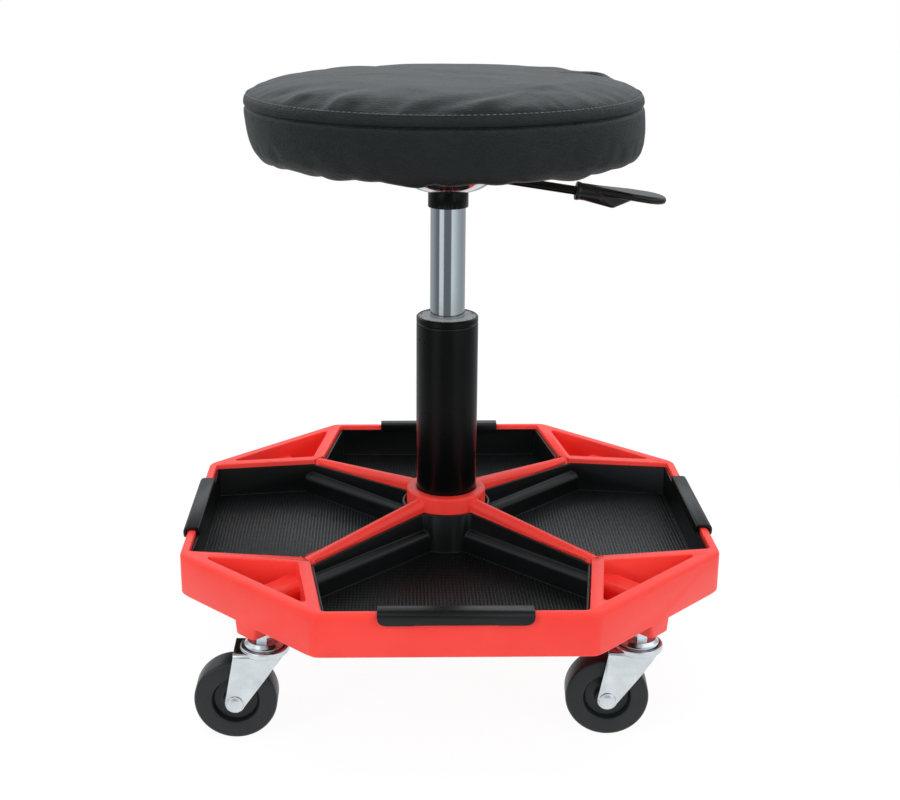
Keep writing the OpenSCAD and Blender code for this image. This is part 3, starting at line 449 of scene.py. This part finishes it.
for nodeName, width in easedEdges.items():
    easedCopy(nodeName, width)
for nodeName in nodes:
    for ending, width in easedKinds.items():
        if nodeName.endswith(ending):
            easedCopy(nodeName, width)
print("moulded edges eased")


# Seat cushion: a crowned vinyl panel sewn to a straight side band whose foot is gathered under the board.
# Sections are radius and height above the seam.
cushion = {
    "seamHeight": 464.0,
    "steps": 272,  # round the seat, eight to each gather of the hem
    "top": ((0, 22.0), (30, 21.7), (62, 21.1), (92, 20.2), (112, 19.0), (128, 17.0), (139, 14.2),
            (145.5, 11.5), (148.8, 9.6), (150.2, 8.4)),
    "roll": ((150.2, 8.4), (151.3, 8.9), (152.3, 8.1), (153.3, 6.2), (153.8, 3.8), (153.6, 1.8),
             (152.6, 0.7), (151.9, 0.1)),
    "band": ((151.9, -0.1), (152.7, -0.7), (153.6, -1.8), (153.3, -6), (152.9, -14), (152.5, -22),
             (151.9, -28), (151.0, -31.6), (149.6, -34.6), (147.2, -37.0), (143.6, -38.6), (138, -39.5),
             (131.2, -39.6)),
    "inner": ((131.2, -39.0), (131.4, -38.4), (143.9, -38.3), (148.0, -34.2), (148.1, -25.2),
              (147.4, -24.3), (0, -24.3)),
    "pitch": {"top": 3.4, "roll": 1.1, "band": 2.2, "inner": 8.0},
    "lean": {"top": -4.4, "foot": -0.9, "below": -37.0},  # the cover is drawn to the left of the column
    # soft folds of the top panel: from and to in plan, half width, rise
    "folds": (
        {"from": (-24, -150), "to": (70, -88), "width": 8, "rise": -2.6},
        {"from": (8, -152), "to": (100, -36), "width": 7, "rise": 1.8},
        {"from": (-129, -72), "to": (-112, -62), "width": 7, "rise": -2.0},
        {"from": (-114, -96), "to": (-100, -84), "width": 9, "rise": 3.0},
        {"from": (-97, -116), "to": (-80, -95), "width": 8, "rise": -2.8},
        {"from": (-79, -124), "to": (-68, -106), "width": 10, "rise": 3.2},
        {"from": (-50, -142), "to": (-30, -118), "width": 12, "rise": -2.4},
        {"from": (116, 34), "to": (92, 22), "width": 5.5, "rise": -4.4},
        {"from": (126, 48), "to": (112, 42), "width": 5, "rise": 2.6},
        {"from": (96, 84), "to": (70, 60), "width": 8, "rise": 1.6},
        {"from": (110, 70), "to": (88, 56), "width": 6, "rise": -1.8},
        {"from": (-74, 120), "to": (-52, 92), "width": 9, "rise": -2.0},
    ),
    "puckers": {"count": 46, "rise": 0.55, "reach": 16},  # drawn in by the topstitch
    "gathers": {"count": 30, "drop": 2.2},
    "loose": {"topRadius": 149, "bandTop": -2, "bandFoot": -33},  # where the vinyl is free to give
    "cloth": {
        "frames": 14,
        "pressure": 1.0,
        "shrink": -0.005,
        "stretch": 30,
        "shear": 12,
        "bending": 3.0,
        "mass": 0.5,
        "quality": 6,
        "cap": 0.9,  # farthest that a point may move
    },
}
stitch = {"pitch": 4.4, "length": 3.3, "thick": 0.9, "raised": 0.1}


def easedLine(points, pitch):
    points = [Vector(point) for point in points]
    line = []
    for i, (a, b) in enumerate(zip(points, points[1:])):
        before = points[i - 1] if i else a * 2 - b
        after = points[i + 2] if i + 2 < len(points) else b * 2 - a
        steps = max(1, round((b - a).length / pitch))
        for k in range(steps):
            t = k / steps
            bend = (2 * before - 5 * a + 4 * b - after) * t * t + (3 * a - before - 3 * b + after) * t**3
            line.append(a + ((b - before) * t + bend) / 2)
    return line + [points[-1]]


def cushionSection():
    section = []
    for part in ("top", "roll", "band", "inner"):
        line = easedLine(cushion[part], cushion["pitch"][part])
        if part == "inner":
            line = [Vector(point) for point in cushion[part]]
        shares = [i / (len(line) - 1) for i in range(len(line))]
        section += [(point, part, share) for point, share in zip(line, shares)]
        if part in ("top", "band"):
            section.pop()  # the next part starts at the same point
    return section


def foldRise(x, y):
    here = Vector((x, y))
    rise = 0.0
    for fold in cushion["folds"]:
        start, end = Vector(fold["from"]), Vector(fold["to"])
        along = end - start
        share = max(0.0, min(1.0, (here - start).dot(along) / along.length_squared))
        away = (here - start - along * share).length
        rise += fold["rise"] * math.exp(-((away / fold["width"]) ** 2)) * (1 - 0.55 * share)
    return rise


# How far the cover is drawn sideways at a height above the seam
def coverLean(height):
    lean = cushion["lean"]
    share = max(0.0, min(1.0, 1 - height / lean["below"]))
    return lean["foot"] + (lean["top"] - lean["foot"]) * share


# How far the vinyl moves outward and upward at a point of the section, in millimetres
def cushionShape(point, part, share, angle):
    radius, height = point
    x, y = radius * math.cos(angle) + coverLean(height), radius * math.sin(angle)
    out = up = 0.0
    if part == "top":
        inside = (cushion["top"][-1][0] - radius) / cushion["puckers"]["reach"]
        sway = noise.noise(Vector((x, y, 7.0)) / 48) * 1.3 + noise.noise(Vector((x, y, 3.0)) / 19) * 0.35
        up += sway * min(1.0, inside) + foldRise(x, y) * min(1.0, 0.25 + inside)
        turn = angle + 0.09 * noise.noise(Vector((math.cos(angle) * 6, math.sin(angle) * 6, 1.0)))
        wave = math.cos(turn * cushion["puckers"]["count"])
        depth = 0.5 + 0.9 * abs(noise.noise(Vector((math.cos(angle) * 3, math.sin(angle) * 3, 5.0))))
        up += cushion["puckers"]["rise"] * depth * wave * math.exp(-((inside - 0.35) ** 2) * 6)
    elif part == "roll":
        out += 0.25 * noise.noise(Vector((x, y, 2.0)) / 7) * math.sin(math.pi * share)
    elif part == "band":
        slack = noise.noise(Vector((x, y, height * 1.6)) / 30)
        out += 0.5 * slack * math.sin(math.pi * min(1.0, share * 1.5))
        gather = cushion["gathers"]
        turn = angle + 0.1 * noise.noise(Vector((math.cos(angle) * 4, math.sin(angle) * 4, 9.0)))
        lobe = abs(math.sin(turn * gather["count"] / 2)) ** 0.8
        size = 0.8 + 1.3 * noise.noise(Vector((math.cos(angle) * 3, math.sin(angle) * 3, 4.0)))
        under = max(0.0, min(1.0, (-height - 35.5) / 3.0))
        near = max(0.0, min(1.0, (radius - 129.5) / 10))
        up -= gather["drop"] * max(0.15, size) * lobe * under * near
        out -= 0.4 * (1 - lobe) * max(0.0, min(1.0, (-height - 31.0) / 5)) * near
    return out, up


def relaxedByCloth(piece, free):
    holder = piece.vertex_groups.new(name="held")
    for vertex in piece.data.vertices:
        holder.add([vertex.index], 0.0 if vertex.index in free else 1.0, "REPLACE")
    rest = [vertex.co.copy() for vertex in piece.data.vertices]
    vinyl = cushion["cloth"]
    cloth = piece.modifiers.new("vinyl", "CLOTH")
    settings = cloth.settings
    settings.vertex_group_mass = holder.name
    settings.quality = vinyl["quality"]
    settings.mass = vinyl["mass"]
    settings.tension_stiffness = vinyl["stretch"]
    settings.compression_stiffness = vinyl["stretch"]
    settings.shear_stiffness = vinyl["shear"]
    settings.bending_stiffness = vinyl["bending"]
    settings.shrink_min = vinyl["shrink"]
    settings.use_pressure = True
    settings.uniform_pressure_force = vinyl["pressure"]
    settings.effector_weights.gravity = 0.0
    cloth.collision_settings.use_collision = False
    scene = bpy.context.scene
    for moment in range(1, vinyl["frames"] + 1):
        scene.frame_set(moment)
    shaped = piece.evaluated_get(bpy.context.evaluated_depsgraph_get())
    moved = [vertex.co.copy() for vertex in shaped.data.vertices]
    piece.modifiers.remove(cloth)
    cap = vinyl["cap"] * mm
    for vertex, start, end in zip(piece.data.vertices, rest, moved):
        step = end - start
        if step.length > cap:
            step *= cap / step.length
        vertex.co = start + step
    scene.frame_set(1)
    piece.vertex_groups.remove(holder)


# The section turned round the seat's axis, each point tagged with its place in the section
# Built face by face: a spin's faces come in another order each run, and the cloth pass then differs
def turnedSection(section):
    bm = bmesh.new()
    tag = bm.verts.layers.int.new("ring")
    steps = cushion["steps"]
    rings = []
    for index, (point, part, share) in enumerate(section):
        rings.append([])
        for step in range(steps if point[0] > 0 else 1):
            turn = Matrix.Rotation(math.tau * step / steps, 3, "Z")
            place = turn @ Vector((point[0], 0, cushion["seamHeight"] + point[1]))
            vert = bm.verts.new(place * mm)
            vert[tag] = index
            rings[-1].append(vert)
    for before, after in zip(rings, rings[1:]):
        for step in range(steps):
            corners = [
                before[step % len(before)],
                after[step % len(after)],
                after[(step + 1) % len(after)],
                before[(step + 1) % len(before)],
            ]
            bm.faces.new(list(dict.fromkeys(corners)))  # a triangle where one ring is the axis point
    return bm, tag


# Gives back the stitched line round the roll, on which the topstitches lie
def buildCushion():
    section = cushionSection()
    bm, tag = turnedSection(section)
    for vert in bm.verts:
        point, part, share = section[vert[tag]]
        angle = math.atan2(vert.co.y, vert.co.x)
        out, up = cushionShape(point, part, share, angle)
        if point[0] > 1:
            vert.co.x += math.cos(angle) * out * mm
            vert.co.y += math.sin(angle) * out * mm
        if part != "inner":
            vert.co.x += coverLean(point[1]) * mm
        vert.co.z += up * mm
    bm.verts.index_update()
    rollRings = [index for index, (point, part, share) in enumerate(section) if part == "roll"]
    loose = cushion["loose"]
    free = set()
    stitched = []
    for vert in bm.verts:
        point, part, share = section[vert[tag]]
        if part == "top" and point[0] < loose["topRadius"]:
            free.add(vert.index)
        if part == "band" and loose["bandFoot"] < point[1] < loose["bandTop"]:
            free.add(vert.index)
        if vert[tag] == rollRings[1]:
            stitched.append((math.atan2(vert.co.y, vert.co.x), vert.index))
    piece = pieceFrom(bm, "seatCushion", 180)
    relaxedByCloth(piece, free)
    line = [piece.data.vertices[index].co.copy() for angle, index in sorted(stitched)]
    smooth = piece.modifiers.new("smooth", "SUBSURF")
    smooth.levels = 1
    smooth.render_levels = 1
    setFinish(piece, "vinyl")
    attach(piece, "seat")
    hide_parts("seat_cover", "seat_foam")
    return line


def buildTopstitch(around):
    lengths = [0.0]
    for a, b in zip(around, around[1:] + around[:1]):
        lengths.append(lengths[-1] + (b - a).length)
    count = round(lengths[-1] / (stitch["pitch"] * mm))
    bm = bmesh.new()
    at = 0
    for k in range(count):
        goal = lengths[-1] * k / count
        while lengths[at + 1] < goal:
            at += 1
        a, b = around[at], around[(at + 1) % len(around)]
        middle = a.lerp(b, (goal - lengths[at]) / max(1e-9, lengths[at + 1] - lengths[at]))
        ahead = (b - a).normalized()
        outward = Vector((middle.x, middle.y, 0)).normalized() * 0.8 + Vector((0, 0, 0.6))
        across = ahead.cross(outward).normalized()
        outward = across.cross(ahead)
        turn = Matrix((ahead, across, outward)).transposed().to_4x4()
        half = (stitch["length"] / 2 * mm, stitch["thick"] / 2 * mm, stitch["thick"] / 2 * mm)
        size = Matrix.Diagonal((*half, 1.0))
        made = bmesh.ops.create_uvsphere(bm, u_segments=6, v_segments=4, radius=1.0)
        tip = Matrix.Rotation(math.pi / 2, 4, "Y")
        place = Matrix.Translation(middle + outward * stitch["raised"] * mm)
        bmesh.ops.transform(bm, matrix=place @ turn @ size @ tip, verts=made["verts"])
    bmesh.ops.recalc_face_normals(bm, faces=bm.faces)
    piece = pieceFrom(bm, "seatTopstitch", 60)
    setFinish(piece, "thread")
    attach(piece, "seat")


buildTopstitch(buildCushion())
print("cushion sewn")


# Seat board: the plywood's own solid with its lower rim cut back, so that the cover turns under it
board = {"chamfer": 3.8, "rim": 1.0, "merge": 0.002}


def buildBoard():
    bm = bmesh.new()
    bm.from_mesh(nodes["seat_board"].data)
    bmesh.ops.remove_doubles(bm, verts=bm.verts, dist=board["merge"] * mm)
    low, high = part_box("seat_board")
    foot = low[2] + 0.01 * mm
    inside = high[0] - board["rim"] * mm
    rim = [e for e in bm.edges if all(v.co.z < foot and v.co.xy.length > inside for v in e.verts)]
    bmesh.ops.bevel(
        bm, geom=rim, offset=board["chamfer"] * mm, affect="EDGES", segments=1, profile=0.5, material=-1
    )
    standFor(pieceFrom(bm, "seatBoardCutBack", 25), "seat_board")


buildBoard()
print("board cut back")


# Lever grip: the moulded nylon's own solid with every edge melted as its mould leaves it
grip = {"voxel": 0.45, "passes": 24, "factor": 0.5, "merge": 0.002}


def buildGrip():
    bm = bmesh.new()
    bm.from_mesh(nodes["lever_grip"].data)
    bmesh.ops.remove_doubles(bm, verts=bm.verts, dist=grip["merge"] * mm)
    piece = pieceFrom(bm, "leverGripMoulded", 180)
    blocks = piece.modifiers.new("even", "REMESH")
    blocks.mode = "VOXEL"
    blocks.voxel_size = grip["voxel"] * mm
    blocks.use_smooth_shade = True
    melt = piece.modifiers.new("melt", "SMOOTH")
    melt.factor = grip["factor"]
    melt.iterations = grip["passes"]
    standFor(piece, "lever_grip")


buildGrip()
print("grip moulded")


# Studio: a white round of sweep paper, one broad light overhead and two tall soft ones at the sides
studio = {
    "floorRadius": 0.62,
    "worldLight": 0.5,
    "lights": (
        {
            "name": "overhead",
            "place": (0.0, 0.25, 2.0),
            "aim": (0, 0, 0.3),
            "size": (1.7, 1.3),
            "watts": 30,
        },
        {
            "name": "leftFront",
            "place": (-1.35, -1.25, 0.9),
            "aim": (0, 0, 0.2),
            "size": (0.6, 1.5),
            "watts": 15,
        },
        {
            "name": "rightFront",
            "place": (1.5, -1.2, 0.9),
            "aim": (0, 0, 0.2),
            "size": (0.6, 1.5),
            "watts": 15,
        },
    ),
    # what polished parts mirror: a dim room in front with two tall soft boxes, paler paper behind and above
    "front": 0.2,
    "behind": 0.5,
    "above": 0.96,
    # bearings from straight ahead in radians at which each box starts, is full, starts to fade and ends
    "boxes": ((-1.1, -0.98, -0.56, -0.44), (0.3, 0.42, 0.5, 1.9)),
    "boxGlow": 0.8,
    "boxFoot": -0.265,  # sine of the angle below level at which the boxes end
}


def placeLight(setup):
    data = bpy.data.lights.new(setup["name"], "AREA")
    data.shape = "RECTANGLE"
    data.size, data.size_y = setup["size"]
    data.energy = setup["watts"]
    light = bpy.data.objects.new(setup["name"], data)
    light.location = setup["place"]
    aim = Vector(setup["aim"]) - Vector(setup["place"])
    light.rotation_euler = aim.to_track_quat("-Z", "Y").to_euler()
    light.visible_glossy = False  # the world holds the soft boxes that metal mirrors
    bpy.context.collection.objects.link(light)


def whenSeenDirectly(tree, rays):
    path = tree.nodes.new("ShaderNodeLightPath")
    total = path.outputs[rays[0]]
    for ray in rays[1:]:
        settings = {"operation": "MAXIMUM"}
        total = addNode(tree, "ShaderNodeMath", settings, {0: total, 1: path.outputs[ray]}).outputs[0]
    return total


def buildWorld(setup):
    world = bpy.data.worlds.new("studioWorld")
    bpy.context.scene.world = world
    world.use_nodes = True
    tree = world.node_tree
    tree.nodes.clear()
    way = tree.nodes.new("ShaderNodeTexCoord").outputs["Generated"]
    axes = addNode(tree, "ShaderNodeSeparateXYZ", {}, {"Vector": way})
    ahead = addNode(tree, "ShaderNodeMath", {"operation": "MULTIPLY", 1: -1.0}, {0: axes.outputs["Y"]})
    bearing = addNode(
        tree, "ShaderNodeMath", {"operation": "ARCTAN2"}, {0: axes.outputs["X"], 1: ahead.outputs[0]}
    )
    boxes = []
    for start, full, fade, stop in setup["boxes"]:
        sides = []
        for none, whole in ((start, full), (stop, fade)):
            edge = {"From Min": none, "From Max": whole}
            sides.append(addNode(tree, "ShaderNodeMapRange", edge, {"Value": bearing.outputs[0]}))
        ends = {0: sides[0].outputs["Result"], 1: sides[1].outputs["Result"]}
        boxes.append(addNode(tree, "ShaderNodeMath", {"operation": "MULTIPLY"}, ends))
    both = addNode(
        tree, "ShaderNodeMath", {"operation": "MAXIMUM"}, {0: boxes[0].outputs[0], 1: boxes[1].outputs[0]}
    )
    high = addNode(
        tree, "ShaderNodeMath", {"operation": "GREATER_THAN", 1: setup["boxFoot"]}, {0: axes.outputs["Z"]}
    )
    glow = addNode(
        tree, "ShaderNodeMath", {"operation": "MULTIPLY"}, {0: both.outputs[0], 1: high.outputs[0]}
    )
    sweep = addNode(
        tree,
        "ShaderNodeMapRange",
        {"From Min": -0.3, "From Max": 0.5, "To Min": setup["front"], "To Max": setup["behind"]},
        {"Value": axes.outputs["Y"]},
    )
    above = addNode(
        tree,
        "ShaderNodeMapRange",
        {"From Min": 0.1, "From Max": 0.4, "To Min": 0.0, "To Max": setup["above"]},
        {"Value": axes.outputs["Z"]},
    )
    overhead = addNode(
        tree, "ShaderNodeMapRange", {"From Min": 0.8, "From Max": 0.5}, {"Value": axes.outputs["Z"]}
    )
    backdrop = addNode(
        tree,
        "ShaderNodeMath",
        {"operation": "MULTIPLY"},
        {0: above.outputs["Result"], 1: overhead.outputs["Result"]},
    )
    level = sweep.outputs["Result"]
    boxLight = addNode(
        tree, "ShaderNodeMath", {"operation": "MULTIPLY", 1: setup["boxGlow"]}, {0: glow.outputs[0]}
    )
    for part in (backdrop, boxLight):
        added = addNode(tree, "ShaderNodeMath", {"operation": "ADD"}, {0: level, 1: part.outputs[0]})
        level = added.outputs[0]
    mirrored = addNode(tree, "ShaderNodeBackground", {"Color": toLinear("f4fbff")}, {"Strength": level})
    dim = addNode(
        tree, "ShaderNodeBackground", {"Color": toLinear("ffffff"), "Strength": setup["worldLight"]}
    )
    bright = addNode(tree, "ShaderNodeBackground", {"Color": toLinear("ffffff"), "Strength": 1.0})
    gloss = whenSeenDirectly(tree, ("Is Glossy Ray", "Is Transmission Ray"))
    seen = whenSeenDirectly(tree, ("Is Camera Ray",))
    lit = addNode(tree, "ShaderNodeMixShader", {}, {0: gloss, 1: dim.outputs[0], 2: mirrored.outputs[0]})
    shown = addNode(tree, "ShaderNodeMixShader", {}, {0: seen, 1: lit.outputs[0], 2: bright.outputs[0]})
    addNode(tree, "ShaderNodeOutputWorld", {}, {"Surface": shown.outputs[0]})


def buildFloor(radius):
    bm = bmesh.new()
    bmesh.ops.create_circle(bm, cap_ends=True, segments=96, radius=radius)
    floor = pieceFrom(bm, "studioFloor")
    material, tree, shader, place = newFinish("matteSweepPaper", "f2f2f2", 0.0, 0.95, gloss=0.0)
    veil = addNode(tree, "ShaderNodeBsdfDiffuse", {"Color": toLinear("4a4a4a")})
    glow = addNode(tree, "ShaderNodeEmission", {"Color": toLinear("ffffff"), "Strength": 0.95})
    both = addNode(tree, "ShaderNodeAddShader", {}, {0: veil.outputs[0], 1: glow.outputs[0]})
    seen = whenSeenDirectly(tree, ("Is Camera Ray", "Is Glossy Ray", "Is Transmission Ray"))
    pick = addNode(tree, "ShaderNodeMixShader", {}, {0: seen, 1: shader.outputs[0], 2: both.outputs[0]})
    output = [n for n in tree.nodes if n.type == "OUTPUT_MATERIAL"][0]
    tree.links.new(pick.outputs[0], output.inputs["Surface"])
    floor.data.materials.append(material)


buildWorld(studio)
buildFloor(studio["floorRadius"])
for lightSetup in studio["lights"]:
    placeLight(lightSetup)
bpy.context.scene.view_settings.view_transform = "Standard"
print("studio lit")
